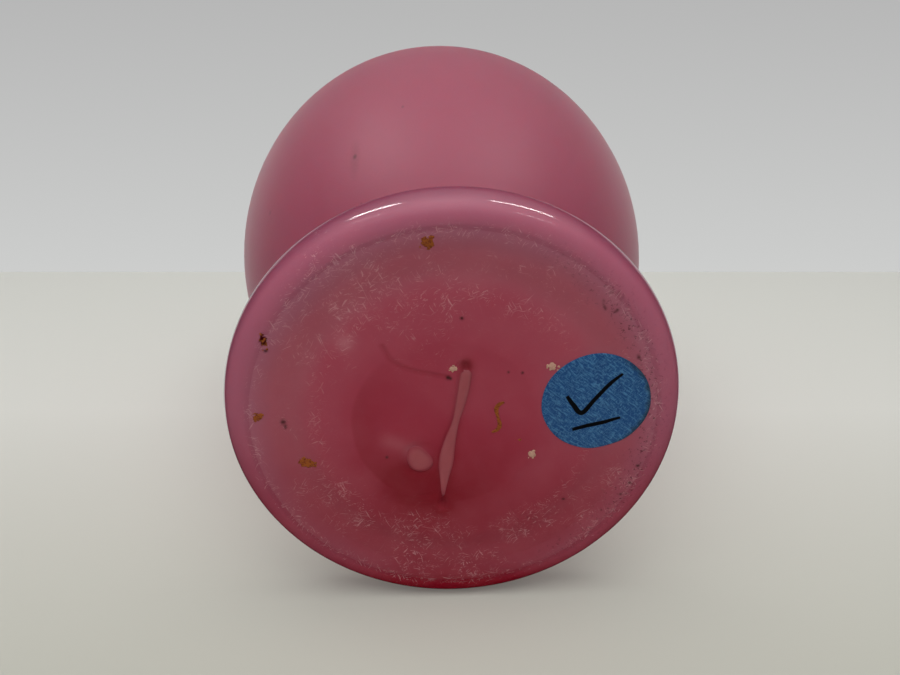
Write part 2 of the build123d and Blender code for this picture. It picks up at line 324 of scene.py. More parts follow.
def blob(centre, outline, rings, sides, thickness, sink, dome=0.0):
    """A thin plate on the underside, whose outline is a radius for each angle. Points and faces."""
    turn = np.arange(sides) * 2 * math.pi / sides
    reach = outline(turn)
    levels = np.linspace(0, 1, rings + 1)[1:]
    grid_x = centre[0] + levels[:, None] * reach * np.cos(turn)
    grid_y = centre[1] + levels[:, None] * reach * np.sin(turn)
    surface = underside_height(grid_x, grid_y)
    edge = np.clip(1 - levels ** 6, 0, 1)[:, None]
    under = surface - thickness * (0.25 + 0.75 * edge) - dome * (1 - levels[:, None] ** 2)
    under = np.maximum(under, 0)
    middle = underside_height(np.array([centre[0]]), np.array([centre[1]]))[0]
    points = [(centre[0], centre[1], middle - thickness - dome), (centre[0], centre[1], middle + sink)]
    points += list(zip(grid_x.ravel(), grid_y.ravel(), under.ravel()))
    points += list(zip(grid_x.ravel(), grid_y.ravel(), (surface + sink).ravel()))
    below, above = 2, 2 + rings * sides
    faces = []
    for side in range(sides):
        after = (side + 1) % sides
        low, high = below + (rings - 1) * sides, above + (rings - 1) * sides
        faces.append((0, below + after, below + side))
        faces.append((1, above + side, above + after))
        faces.append((low + side, low + after, high + after, high + side))
    for first in (below, above):
        faces += [tuple(first + corner for corner in face) for face in ring_faces(rings, sides)]
    return points, faces


def ribbon(path, centre, thickness, sink, rounding):
    """A thin strip along a path whose third value is its half width. Points and faces."""
    path = np.array(path)
    along = np.gradient(path[:, :2], axis=0)
    along /= np.linalg.norm(along, axis=1)[:, None]
    side = np.stack([-along[:, 1], along[:, 0]], 1)
    shares = np.sin(np.linspace(-1, 1, RIBBON_COLUMNS) * math.pi / 2)
    points = []
    for level in (1, -1):
        for place, across, width in zip(path[:, :2], side, path[:, 2]):
            for share in (shares if level > 0 else shares[::-1]):
                x, y = place + across * share * width + np.array(centre)
                proud = thickness * (1 - rounding * share ** 4)
                height = underside_height(np.array([x]), np.array([y]))[0]
                points.append((x, y, max(height - proud, 0) if level > 0 else height + sink))
    sides = 2 * len(shares)
    rows = len(path)
    order = []
    for row in range(rows):
        for start in (row * RIBBON_COLUMNS, (rows + row) * RIBBON_COLUMNS):
            order += list(range(start, start + RIBBON_COLUMNS))
    points = [points[index] for index in order]
    faces = ring_faces(rows, sides)
    faces.append(tuple(range(sides))[::-1])
    faces.append(tuple(range((rows - 1) * sides, rows * sides)))
    return points, faces


def joined(shapes):
    """Several sets of points and faces as one."""
    points, faces = [], []
    for shape_points, shape_faces in shapes:
        start = len(points)
        points += list(shape_points)
        faces += [tuple(start + corner for corner in face) for face in shape_faces]
    return points, faces


# ---------------------------------------------------------------- materials
def linear(red, green, blue):
    """An sRGB colour, 0 to 255, as Blender's linear RGBA."""
    values = [channel / 255 for channel in (red, green, blue)]
    return [v / 12.92 if v <= 0.04045 else ((v + 0.055) / 1.055) ** 2.4 for v in values] + [1.0]


class Nodes:
    """Short calls to lay out one material's nodes."""

    def __init__(self, name):
        """Starts a material that has the Principled shader."""
        self.material = bpy.data.materials.new(name)
        self.material.use_nodes = True
        self.tree = self.material.node_tree
        self.shader = self.tree.nodes["Principled BSDF"]

    def add(self, kind, **settings):
        """A new node with these properties."""
        node = self.tree.nodes.new(kind)
        for name, value in settings.items():
            setattr(node, name, value)
        return node

    def link(self, source, target):
        """Joins an output to an input."""
        self.tree.links.new(source, target)

    def feed(self, socket, value):
        """Links a socket, or sets its constant."""
        if isinstance(value, bpy.types.NodeSocket):
            self.link(value, socket)
        else:
            socket.default_value = value

    def set(self, **values):
        """Constants or links on the Principled shader, by socket name with _ for spaces."""
        for name, value in values.items():
            self.feed(self.shader.inputs[name.replace("_", " ")], value)

    def place(self):
        """The place on the object, in metres."""
        return self.add("ShaderNodeTexCoord").outputs["Object"]

    def value(self, name):
        """A number that the mesh holds at each point."""
        return self.add("ShaderNodeAttribute", attribute_name=name).outputs["Fac"]

    def colour(self, name):
        """A colour that the mesh holds at each point."""
        return self.add("ShaderNodeAttribute", attribute_name=name).outputs["Color"]

    def stretch(self, vector, turn, scale):
        """The place turned, then drawn out by these factors along the turned axes."""
        node = self.add("ShaderNodeMapping", vector_type="TEXTURE")
        self.link(vector, node.inputs["Vector"])
        node.inputs["Rotation"].default_value = (0, 0, turn)
        node.inputs["Scale"].default_value = scale
        return node.outputs["Vector"]

    def noise(self, vector, per_metre, detail=2.0, rough=0.5):
        """Smooth noise from 0 to 1, with this many features per metre."""
        node = self.add("ShaderNodeTexNoise")
        self.link(vector, node.inputs["Vector"])
        node.inputs["Scale"].default_value = per_metre
        node.inputs["Detail"].default_value = detail
        node.inputs["Roughness"].default_value = rough
        return node.outputs["Fac"]

    def cells(self, vector, per_metre):
        """Distance to the nearest of scattered points, in cell widths."""
        node = self.add("ShaderNodeTexVoronoi", feature="F1")
        self.link(vector, node.inputs["Vector"])
        node.inputs["Scale"].default_value = per_metre
        return node.outputs["Distance"]

    def band(self, value, low, high, out_low=0.0, out_high=1.0):
        """The value from low to high, spread smoothly over the output range."""
        node = self.add("ShaderNodeMapRange", interpolation_type="SMOOTHSTEP")
        self.feed(node.inputs["Value"], value)
        node.inputs["From Min"].default_value = low
        node.inputs["From Max"].default_value = high
        node.inputs["To Min"].default_value = out_low
        node.inputs["To Max"].default_value = out_high
        return node.outputs["Result"]

    def math(self, operation, first, second):
        """One sum on two numbers."""
        node = self.add("ShaderNodeMath", operation=operation)
        self.feed(node.inputs[0], first)
        self.feed(node.inputs[1], second)
        return node.outputs["Value"]

    def mix(self, share, first, second):
        """The first colour with this share of the second laid over it."""
        node = self.add("ShaderNodeMix", data_type="RGBA")
        self.feed(node.inputs[0], share)
        self.feed(node.inputs[6], first)
        self.feed(node.inputs[7], second)
        return node.outputs[2]

    def bump(self, height, distance):
        """Fine relief on the Principled shader, this far in metres from 0 to 1."""
        node = self.add("ShaderNodeBump")
        self.feed(node.inputs["Height"], height)
        node.inputs["Distance"].default_value = distance
        self.link(node.outputs["Normal"], self.shader.inputs["Normal"])


def scratches(nodes, place, per_metre, turn, length, crowd):
    """Fine lines in one direction: crests of a noise drawn out to this length, more where crowded."""
    bent = nodes.add("ShaderNodeVectorMath", operation="ADD")
    sway = nodes.add("ShaderNodeTexNoise")
    nodes.link(place, sway.inputs["Vector"])
    sway.inputs["Scale"].default_value = 120.0
    scaled = nodes.add("ShaderNodeVectorMath", operation="SCALE")
    nodes.link(sway.outputs["Color"], scaled.inputs[0])
    scaled.inputs["Scale"].default_value = 0.003
    nodes.link(place, bent.inputs[0])
    nodes.link(scaled.outputs["Vector"], bent.inputs[1])
    lines = nodes.noise(nodes.stretch(bent.outputs["Vector"], turn, (1, length, 1)), per_metre, 0.0, 0.5)
    return nodes.band(nodes.math("ADD", lines, crowd), 0.76, 0.84)


def largest(nodes, values):
    """The largest of several numbers."""
    result = values[0]
    for value in values[1:]:
        result = nodes.math("MAXIMUM", result, value)
    return result


def foot_glass():
    """Milky ruby glass: a fire-polished rim, and an underside scuffed by years of standing."""
    nodes = Nodes("ruby_foot_glass")
    place = nodes.place()
    haze, rim, dirt = nodes.value("haze"), nodes.value("rim"), nodes.value("dirt")
    cloud = nodes.noise(place, 70, 5.0, 0.6)
    # The colour painted on the foot: the glass's own tones, with painted shade toward the table and at the
    # outer edge.
    glass = nodes.colour("glass")
    glass = nodes.mix(nodes.band(cloud, 0.35, 0.7, 0.0, 0.10), glass, linear(212, 120, 132))
    patches = nodes.band(nodes.noise(place, 300, 5.0, 0.7), 0.44, 0.60)
    wear = nodes.math("MULTIPLY", haze, nodes.band(patches, 0.0, 1.0, 0.45, 1.0))
    crowd = nodes.math("MULTIPLY", wear, 0.10)
    lines = largest(nodes, [
        scratches(nodes, place, 6000, 0.65, 20, crowd), scratches(nodes, place, 5400, -0.45, 16, crowd),
        scratches(nodes, place, 6600, 1.75, 18, crowd), scratches(nodes, place, 5800, 1.15, 13, crowd),
    ])
    specks = nodes.math("MULTIPLY", nodes.band(nodes.cells(place, 1700), 0.20, 0.12), patches)
    grit = nodes.band(nodes.noise(place, 3300, 5.0, 0.75), 0.54, 0.66)
    marks = largest(nodes, [
        nodes.math("MULTIPLY", lines, nodes.band(wear, 0.0, 0.35)), nodes.math("MULTIPLY", specks, wear),
        nodes.math("MULTIPLY", nodes.math("MULTIPLY", grit, patches), wear),
    ])
    bloom = nodes.math("MULTIPLY", haze, nodes.band(nodes.noise(place, 150, 5.0, 0.65), 0.30, 0.75))
    glass = nodes.mix(nodes.math("MULTIPLY", bloom, 0.12), glass, linear(206, 132, 140))
    glass = nodes.mix(nodes.math("MULTIPLY", marks, 0.42), glass, linear(224, 168, 172))
    soil = nodes.math("MULTIPLY", dirt, nodes.band(nodes.noise(place, 1500, 4.0, 0.7), 0.56, 0.66))
    glass = nodes.mix(soil, glass, linear(70, 24, 26))
    nodes.set(Base_Color=glass, Subsurface_Weight=0.30, Subsurface_Radius=(0.005, 0.0012, 0.0014),
              Subsurface_Scale=1.0, IOR=1.5)
    rough = nodes.math("ADD", nodes.band(rim, 0.0, 1.0, 0.42, 0.09), nodes.math("MULTIPLY", marks, 0.3))
    nodes.set(Roughness=rough)
    nodes.bump(nodes.math("ADD", nodes.math("MULTIPLY", marks, -0.5), cloud), 0.00003)
    return nodes.material


def bowl_marks(nodes, place):
    """Small dark smudges on the bowl, each an ellipsoid of shade about its own place."""
    marks = []
    for centre, reach, strength in BOWL_MARKS:
        shifted = nodes.add("ShaderNodeVectorMath", operation="SUBTRACT")
        nodes.link(place, shifted.inputs[0])
        shifted.inputs[1].default_value = [c * MM for c in centre]
        scaled = nodes.add("ShaderNodeVectorMath", operation="DIVIDE")
        nodes.link(shifted.outputs["Vector"], scaled.inputs[0])
        scaled.inputs[1].default_value = [c * MM for c in reach]
        length = nodes.add("ShaderNodeVectorMath", operation="LENGTH")
        nodes.link(scaled.outputs["Vector"], length.inputs[0])
        marks.append(nodes.band(length.outputs["Value"], 1.5, 0.2, 0.0, strength))
    return largest(nodes, marks)


def satin_glass():
    """Acid-etched ruby-pink glass cased over opal."""
    nodes = Nodes("satin_pink_glass")
    place = nodes.place()
    cloud = nodes.noise(place, 22, 4.0, 0.55)
    pink = nodes.mix(cloud, linear(*SATIN_DEEP), linear(*SATIN_PALE))
    specks = nodes.band(nodes.cells(place, 170), 0.040, 0.018)
    pink = nodes.mix(nodes.math("MULTIPLY", specks, 0.35), pink, linear(140, 56, 74))
    pink = nodes.mix(bowl_marks(nodes, place), pink, linear(96, 28, 40))
    nodes.set(Base_Color=pink, Roughness=0.52, Subsurface_Weight=0.6, IOR=1.5,
              Subsurface_Radius=(0.024, 0.004, 0.006), Subsurface_Scale=1.0, Sheen_Weight=0.3,
              Sheen_Roughness=0.4)
    nodes.bump(nodes.noise(place, 2600, 2.0), 0.00002)
    return nodes.material


def opal_glass():
    """Glossy opal glass, faintly flushed by the ruby behind it."""
    nodes = Nodes("opal_lining_glass")
    cloud = nodes.noise(nodes.place(), 30, 3.0)
    nodes.set(Base_Color=nodes.mix(cloud, linear(236, 222, 220), linear(244, 234, 230)), Roughness=0.12,
              Subsurface_Weight=0.4, Subsurface_Radius=(0.006, 0.004, 0.004), Subsurface_Scale=1.0)
    return nodes.material


def pinch_glass():
    """Dusty pink opal that shows through a skin of ruby."""
    nodes = Nodes("pinched_opal_glass")
    place = nodes.place()
    cloud = nodes.noise(place, 500, 3.0)
    opal = nodes.mix(cloud, linear(174, 80, 88), linear(187, 94, 101))
    opal = nodes.mix(nodes.math("MULTIPLY", nodes.value("edge"), 0.7), opal, linear(166, 52, 70))
    nodes.set(Base_Color=opal, Roughness=0.30, Subsurface_Weight=0.4,
              Subsurface_Radius=(0.004, 0.002, 0.002), Subsurface_Scale=1.0)
    return nodes.material


def gilt():
    """Thin fired gilt, worn to a dull bronze."""
    nodes = Nodes("worn_gilt")
    place = nodes.place()
    wear = nodes.band(nodes.noise(place, 2600, 4.0, 0.7), 0.44, 0.64)
    nodes.set(Base_Color=nodes.mix(wear, linear(182, 98, 32), linear(134, 52, 26)), Metallic=0.15,
              Roughness=nodes.band(wear, 0.0, 1.0, 0.38, 0.62))
    nodes.bump(wear, 0.00004)
    return nodes.material


def enamel():
    """Cream enamel spatter."""
    nodes = Nodes("cream_enamel")
    grain = nodes.noise(nodes.place(), 2600, 4.0, 0.7)
    nodes.set(Base_Color=nodes.mix(grain, linear(190, 128, 112), linear(224, 184, 158)), Roughness=0.5)
    nodes.bump(grain, 0.00005)
    return nodes.material


def blue_paper():
    """Blue crepe paper with pale fibres."""
    nodes = Nodes("blue_crepe_paper")
    place = nodes.place()
    slant = nodes.band(nodes.noise(nodes.stretch(place, -0.9, (1, 5, 1)), 3600, 3.0, 0.65), 0.47, 0.66)
    cross = nodes.band(nodes.noise(nodes.stretch(place, 0.5, (1, 3, 1)), 4200, 3.0, 0.65), 0.50, 0.68)
    fibre = nodes.math("MAXIMUM", slant, cross)
    cloud = nodes.noise(place, 420, 3.0)
    blue = nodes.mix(cloud, linear(6, 68, 128), linear(14, 86, 148))
    blue = nodes.mix(nodes.math("MULTIPLY", fibre, 0.50), blue, linear(96, 164, 212))
    # Painted shade: the paper's right edge is darkened where it bends with the curve of the foot.
    blue = nodes.mix(nodes.value("painted_edge_shade"), blue, linear(24, 52, 62))
    nodes.set(Base_Color=blue, Roughness=0.8, Sheen_Weight=0.1)
    nodes.bump(fibre, 0.00005)
    return nodes.material


def marker_ink():
    """Black marker ink soaked into paper."""
    nodes = Nodes("marker_ink")
    grain = nodes.noise(nodes.place(), 3000, 3.0)
    nodes.set(Base_Color=nodes.mix(grain, linear(6, 6, 9), linear(18, 18, 24)), Roughness=0.5)
    return nodes.material


# ---------------------------------------------------------------- pieces
FOOT_SIDES = 448
DISH_RINGS = 140


def foot_profile_above():
    """Radius and height from the widest circle, over the top of the foot and down its socket."""
    shoulder_radius = FOOT_RADIUS - SHOULDER_INSET
    shoulder_height = EDGE_BELOW + EDGE_ABOVE
    profile = []
    for turn in np.linspace(0, math.pi / 2, 12)[1:]:
        profile.append((shoulder_radius + SHOULDER_INSET * math.cos(turn),
                        EDGE_BELOW + EDGE_ABOVE * math.sin(turn)))
    top = smooth_path([(shoulder_radius, shoulder_height), (30.0, shoulder_height + 0.35),
                       (STEM_RADIUS + COLLAR_WIDTH, FOOT_TOP - 1.6), (STEM_RADIUS, FOOT_TOP)], 8)
    profile += [tuple(place) for place in top[1:]]
    for turn in np.linspace(0, math.pi / 2, 10)[1:-1]:
        profile.append((STEM_RADIUS * math.cos(turn),
                        FOOT_TOP - (FOOT_TOP - SOCKET_FLOOR) * math.sin(turn)))
    return profile


def make_foot():
    """The foot: its dished, pinched and scuffed underside, bullnose edge, top and socket."""
    below = list(np.linspace(0, REST_RING_INNER, DISH_RINGS + 1)[1:]) + [REST_RING_OUTER]
    for turn in np.linspace(0, math.pi / 2, 16)[1:]:
        below.append(REST_RING_OUTER + (FOOT_RADIUS - REST_RING_OUTER) * math.sin(turn))
    profile = [(radius, 0.0) for radius in below] + foot_profile_above()
    x, y, z = turned_points(profile, FOOT_SIDES)
    under = len(below)
    z[:under] = underside_height(x[:under], y[:under])
    points = list(zip(x.ravel(), y.ravel(), z.ravel()))
    faces = [face[::-1] for face in ring_faces(len(profile), FOOT_SIDES)]
    centre = len(points)
    middle = underside_height(np.array([0.0]), np.array([0.0]))[0]
    points += [(0.0, 0.0, middle), (0.0, 0.0, SOCKET_FLOOR)]
    last = (len(profile) - 1) * FOOT_SIDES
    for side in range(FOOT_SIDES):
        after = (side + 1) % FOOT_SIDES
        faces.append((centre, after, side))
        faces.append((centre + 1, last + side, last + after))
    piece = make_object("foot_spun", points, faces, foot_glass(), "foot")
    paint_foot(piece.data, np.array(points))
    return piece


def shade(colours, share, paint):
    """These colours with this share of a paint laid over them."""
    share = np.clip(share, 0, 1)[:, None]
    return colours * (1 - share) + np.array(linear(*paint)[:3]) * share


def paint_foot(mesh, points):
    """Where the glass is deep ruby, where painted shade darkens it toward the table and at its outermost
    edge, where it is scuffed or stained, and where it is fire-polished.
    """
    x, y, z = points.T
    radius = np.hypot(x, y)
    below = z < EDGE_BELOW
    weld = np.hypot(x - WELD_CENTRE[0], y - WELD_CENTRE[1])
    uneven = noise_at(x, y, 6.0, 1.0)
    broad = noise_at(x, y, 15.0, 2.0)
    colours = shade(np.zeros((len(points), 3)), np.ones(len(points)), MAUVE_RIM)
    colours = shade(colours, 1 - smooth_step(30.5, 36.0, radius + 0.9 * broad), GROOVE_PINK)
    colours = shade(colours, 1 - smooth_step(23.6, 28.2, radius + 0.6 * uneven), DISH_PINK)
    heart = 1 - smooth_step(WELD_RADIUS - 3.0, WELD_RADIUS + 4.5, weld + 1.4 * uneven + 1.5 * broad)
    low_left = smooth_step(-0.8, 0.8, (-0.5 * x + 0.8 * y) / (weld + 4))
    colours = shade(colours, heart * (0.55 + 0.45 * low_left), HEART_CRIMSON)
    facing = smooth_step(-0.1, 0.9, (-0.75 * x + 0.6 * y) / (weld + 1))
    ruby_and_shade = 0.30 * facing * smooth_step(9.0, WELD_RADIUS - 0.3, weld) * (1 - smooth_step(
        WELD_RADIUS - 0.1, WELD_RADIUS + 0.5, weld + 0.15 * uneven))
    ruby_and_shade = ruby_and_shade + 0.80 * bell(np.hypot(x + 7.8, (y - 12.4) * 0.9), 4.6)
    ruby_and_shade = (ruby_and_shade + 0.30 * bell(np.hypot(x + 3.0, y - 16.5), 8.0)
            + 0.18 * bell(np.hypot(x - 4.5, y - 9.0), 6.0))
    ruby_and_shade = ruby_and_shade + 1.0 * bell(np.hypot(x - STREAK_HEAD[0], y - STREAK_HEAD[1]), 1.3)
    ruby_and_shade = ruby_and_shade + 1.1 * bell(np.hypot(x - STREAK_TIP[0], (y - STREAK_TIP[1]) * 0.8), 1.5)
    gap, nearest = distance_to_path(x, y, STREAK_PATH)
    ruby_and_shade = ruby_and_shade + 0.30 * bell(gap - nearest[:, 2], 0.9)
    fold_gap, _ = distance_to_path(x, y, FOLD_PATH)
    ruby_and_shade = ruby_and_shade + 0.30 * bell(fold_gap - 0.2, 0.35)
    for wrinkle in range(WRINKLES):
        arc = np.hypot(x + 5.6, (y - 8.8) * 1.15) - (8.15 + 0.8 * wrinkle)
        ruby_and_shade = ruby_and_shade + 0.35 * bell(arc, 0.22) * bell(x + 5.4, 3.0) * smooth_step(13.0, 15.5, y)
    # Deeper and darker toward the table side, and most at the bottom of the rim: partly the glass's own
    # colour, partly painted shade where the foot turns from the light and meets the table.
    ruby_and_shade = ruby_and_shade + 0.56 * smooth_step(-6.0, 24.0, y) + 0.55 * smooth_step(28.0, 40.0, y)
    colours = shade(colours, ruby_and_shade * below, DEEP_RUBY_AND_SHADE)
    # Painted shade: the outermost edge of the foot is darkened all round, where the glass is seen through
    # to the shaded parts behind it.
    colours = shade(colours, 0.7 * smooth_step(FOOT_RADIUS - 1.5, FOOT_RADIUS, radius), RIM_EDGE_SHADE)
    tail_gap, _ = distance_to_path(x, y, np.array(BEAD_TAIL))
    pale = 0.16 * bell(tail_gap, 1.6) + 0.35 * bell(np.hypot(x + 18.3, y + 15.6), 1.5)
    colours = shade(colours, pale * below, (214, 146, 156))
    dark = np.zeros(len(points))
    for spot_x, spot_y, reach in SPECKS:
        dark = np.maximum(dark, 1.3 * bell(np.hypot(x - spot_x, y - spot_y), reach))
    ring = np.hypot(x - STAIN_RING[0], (y - STAIN_RING[1]) * 0.9) - STAIN_RING[2]
    dark = np.maximum(dark, 0.8 * bell(ring, 0.22) * smooth_step(-0.2, 0.5, noise_at(x, y, 0.9, 4.0)))
    colours = shade(colours, dark * below, (62, 18, 16))
    haze = 0.06 + 0.75 * bell(radius - 35.4, 1.1) + 0.35 * bell(radius - 24.7, 1.3)
    for spot_x, spot_y, reach, strength in SCUFFS:
        haze = haze + strength * bell(np.hypot(x - spot_x, y - spot_y), reach)
    haze = np.clip(haze * (0.8 + 0.6 * noise_at(x, y, 4.0, 5.0)), 0, 1) * below
    dirt = 0.8 * bell(radius - 34.5, 2.5) * smooth_step(0.2, 0.9, x / (radius + 1))
    dirt = dirt + 0.5 * bell(np.hypot(x - 13.0, y - 22.5), 2.5)
    add_colour(mesh, "glass", colours)
    add_value(mesh, "haze", haze)
    add_value(mesh, "dirt", np.clip(dirt, 0, 1) * below)
    add_value(mesh, "rim", smooth_step(34.5, 36.6, radius))


def make_pinch():
    """The opal streak and bead, flush in the glass but for a hair."""
    material = pinch_glass()
    points, faces = ribbon(STREAK_PATH, (0, 0), 0.03, 0.5, 0.6)
    streak = make_object("pinch_streak_opal", points, faces, material, "pinch_streak")
    x, y = np.array(points)[:, :2].T
    gap, nearest = distance_to_path(x, y, STREAK_PATH)
    border = smooth_step(0.72, 1.0, gap / nearest[:, 2])
    add_value(streak.data, "edge", np.maximum(border, bell(y - 17.0, 3.0)))

    def outline(turn):
        across, along = BEAD_RADII
        local = turn - BEAD_TURN
        reach = across * along / np.hypot(along * np.cos(local), across * np.sin(local))
        return reach * (1 + 0.05 * np.sin(3 * turn + 1))

    points, faces = blob(BEAD_CENTRE, outline, 12, 72, 0.02, 0.5, 0.06)
    bead = make_object("pinch_bead_opal", points, faces, material, "pinch_bead")
    x, y = (np.array(points)[:, :2] - BEAD_CENTRE).T
    reach = np.hypot(x, y) / outline(np.arctan2(y, x))
    add_value(bead.data, "edge", smooth_step(0.55, 1.0, reach))


def ragged(radius, seed, depth, drawn_out, turned):
    """An uneven outline, drawn out in one direction: a radius for each angle."""
    def outline(turn):
        edge = [noise.noise(Vector((math.cos(t) * 1.2, math.sin(t) * 1.2, seed))) for t in turn]
        chips = [noise.noise(Vector((math.cos(t) * 3.4, math.sin(t) * 3.4, seed + 9))) for t in turn]
        local = turn - turned
        oval = 1 / np.hypot(np.cos(local) / drawn_out, np.sin(local))
        return radius * oval * (1 + depth * np.array(edge) + 0.45 * depth * np.array(chips))
    return outline


def spatter(spots, thickness):
    """Flecks as overlapping ragged flakes, large ones in the middle and crumbs around them."""
    shapes = []
    for number, (x, y, radius, drawn_out, turned) in enumerate(spots):
        seed = 3.7 * number
        chance = np.random.default_rng(11 + number)
        heart = ragged(radius * 0.50, seed, 0.5, drawn_out, turned)
        shapes.append(blob((x, y), heart, 4, 48, thickness, 0.03))
        for flake in range(9):
            turn = chance.uniform(0, 2 * math.pi)
            reach = radius * (0.25 + 0.085 * flake) * chance.uniform(0.7, 1.1)
            size = radius * (0.42 - 0.036 * flake) * chance.uniform(0.6, 1.2)
            along, across = drawn_out * reach * math.cos(turn), reach * math.sin(turn)
            centre = (x + along * math.cos(turned) - across * math.sin(turned),
                      y + along * math.sin(turned) + across * math.cos(turned))
            crumb = ragged(size, seed + flake, 0.7, 1.3, turned + flake)
            shapes.append(blob(centre, crumb, 2, 20, thickness * (0.6 + 0.04 * flake), 0.03))
    return joined(shapes)


def make_marks():
    """The gilt flourish, and the gilt and enamel spatter."""
    material = gilt()
    points, faces = ribbon(smooth_path(GILT_WAVE, 10), GILT_CENTRE, 0.05, 0.04, 0.8)
    make_object("gilt_flourish_stroke", points, faces, material, "gilt_flourish")
    points, faces = spatter(GILT_SPATTER, 0.05)
    make_object("gilt_flakes", points, faces, material, "gilt_spatter")
    points, faces = spatter(ENAMEL_SPATTER, 0.06)
    make_object("enamel_flakes", points, faces, enamel(), "enamel_spatter")


def make_dot():
    """The blue paper dot and the marker strokes on it."""
    def outline(turn):
        return DOT_RADIUS * (1 + 0.002 * np.sin(9 * turn))

    points, faces = blob(DOT_CENTRE, outline, 60, 200, DOT_PAPER, 0.02)
    paper = make_object("price_dot_paper", points, faces, blue_paper(), "price_dot")
    x = np.array(points)[:, 0] - DOT_CENTRE[0]
    y = np.array(points)[:, 1] - DOT_CENTRE[1]
    reach = np.hypot(x, y)
    # Painted shade along the right edge of the dot, where the paper bends with the underside.
    edge = smooth_step(DOT_RADIUS - 1.1, DOT_RADIUS, reach + 0.5 * noise_at(x, y, 1.2))
    add_value(paper.data, "painted_edge_shade", 0.75 * edge * smooth_step(0.2, 0.8, x / DOT_RADIUS))
    shapes = []
    for stroke in INK_STROKES:
        shapes.append(ribbon(smooth_path(stroke, 10), DOT_CENTRE, DOT_PAPER + 0.02, -0.05, 0.1))
    points, faces = joined(shapes)
    make_object("dot_tick_ink", points, faces, marker_ink(), "dot_tick")


def dress_glass():
    """The casing and the lining keep their CAD shapes and get their glass."""
    for name, material in (("body_casing", satin_glass()), ("opal_lining", opal_glass())):
        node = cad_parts[name]
        node.data.materials.clear()
        node.data.materials.append(material)
        for polygon in node.data.polygons:
            polygon.use_smooth = True


# ---------------------------------------------------------------- table, light and camera
def one_sided(name, colour, glow=0.0):
    """A stage surface that is seen only from its front."""
    nodes = Nodes(name)
    nodes.set(Base_Color=colour, Roughness=0.9, Specular_IOR_Level=0.1)
    surface = nodes.shader.outputs[0]
    if glow:
        lamp = nodes.add("ShaderNodeEmission")
        lamp.inputs["Color"].default_value = colour
        lamp.inputs["Strength"].default_value = glow
        surface = lamp.outputs[0]
    clear = nodes.add("ShaderNodeBsdfTransparent")
    choose = nodes.add("ShaderNodeMixShader")
    nodes.link(nodes.add("ShaderNodeNewGeometry").outputs["Backfacing"], choose.inputs[0])
    nodes.link(surface, choose.inputs[1])
    nodes.link(clear.outputs[0], choose.inputs[2])
    nodes.link(choose.outputs[0], nodes.tree.nodes["Material Output"].inputs["Surface"])
    return nodes.material


def fade(material, axis, low, high, low_colour, high_colour, shader, socket):
    """Fades a stage colour along one of the sheet's axes, between two places in metres."""
    tree = material.node_tree
    place = tree.nodes.new("ShaderNodeSeparateXYZ")
    spread = tree.nodes.new("ShaderNodeMapRange")
    blend = tree.nodes.new("ShaderNodeMix")
    blend.data_type = "RGBA"
    spread.inputs["From Min"].default_value, spread.inputs["From Max"].default_value = low, high
    blend.inputs[6].default_value, blend.inputs[7].default_value = low_colour, high_colour
    tree.links.new(tree.nodes.new("ShaderNodeTexCoord").outputs["Object"], place.inputs[0])
    tree.links.new(place.outputs[axis], spread.inputs["Value"])
    tree.links.new(spread.outputs["Result"], blend.inputs[0])
    tree.links.new(blend.outputs[2], tree.nodes[shader].inputs[socket])


def stage_sheet(name, corners, material, matrix):
    """A flat sheet of the stage, from four corners in millimetres, in anticlockwise order."""
    mesh = bpy.data.meshes.new(name)
    mesh.from_pydata([tuple(MM * c for c in corner) for corner in corners], [], [(0, 1, 2, 3)])
    mesh.materials.append(material)
    sheet = bpy.data.objects.new(name, mesh)
    sheet.matrix_world = matrix
    bpy.context.scene.collection.objects.link(sheet)
    return sheet


def make_stage():
    """The table that the vase lies on, a backdrop beyond it, and a floor for the standing vase."""
    wide = TABLE_HALF_WIDTH
    table = one_sided("pale_table", linear(232, 232, 226))
    # Painted shade: the table darkens toward the camera.
    shaded_near, beyond = linear(180, 180, 168), linear(213, 213, 206)
    fade(table, "Y", 0.11, 0.23, shaded_near, beyond, "Principled BSDF", "Base Color")
    # Painted light: the table glows faintly, which lifts its shadows and the shade where the vase touches
    # it.
    shader = table.node_tree.nodes["Principled BSDF"]
    shader.inputs["Emission Color"].default_value = linear(240, 238, 230)
    shader.inputs["Emission Strength"].default_value = TABLE_GLOW
    corners = [(-wide, TABLE_START, 0), (wide, TABLE_START, 0), (wide, TABLE_END, 0), (-wide, TABLE_END, 0)]
    top = stage_sheet("table", corners, table, LYING)
    top.visible_glossy = False
    # The backdrop is lit by no lamp: it glows, with painted light that fades from paler low down to darker
    # higher up.
    wall = one_sided("pale_backdrop", linear(204, 204, 203), 1.0)
    low, high = BACKDROP_LOW, BACKDROP_HIGH
    fade(wall, "Z", -0.07, 0.16, linear(207, 208, 207), linear(181, 181, 181), "Emission", "Color")
    far = TABLE_END + BACKDROP_GAP
    corners = [(-wide, far, low), (wide, far, low), (wide, far, high), (-wide, far, high)]
    sheet = stage_sheet("backdrop", corners, wall, LYING)
    sheet.visible_diffuse = False
    sheet.visible_shadow = False
    make_ceiling()
    wide = FLOOR_HALF_WIDTH
    corners = [(-wide, -wide, 0), (wide, -wide, 0), (wide, wide, 0), (-wide, wide, 0)]
    pale_floor = one_sided("pale_floor", linear(226, 226, 222))
    floor = stage_sheet("standing_floor", corners, pale_floor, Matrix.Identity(4))
    floor.visible_diffuse = False
    floor.visible_glossy = False
    floor.visible_shadow = False
    floor.visible_transmission = False


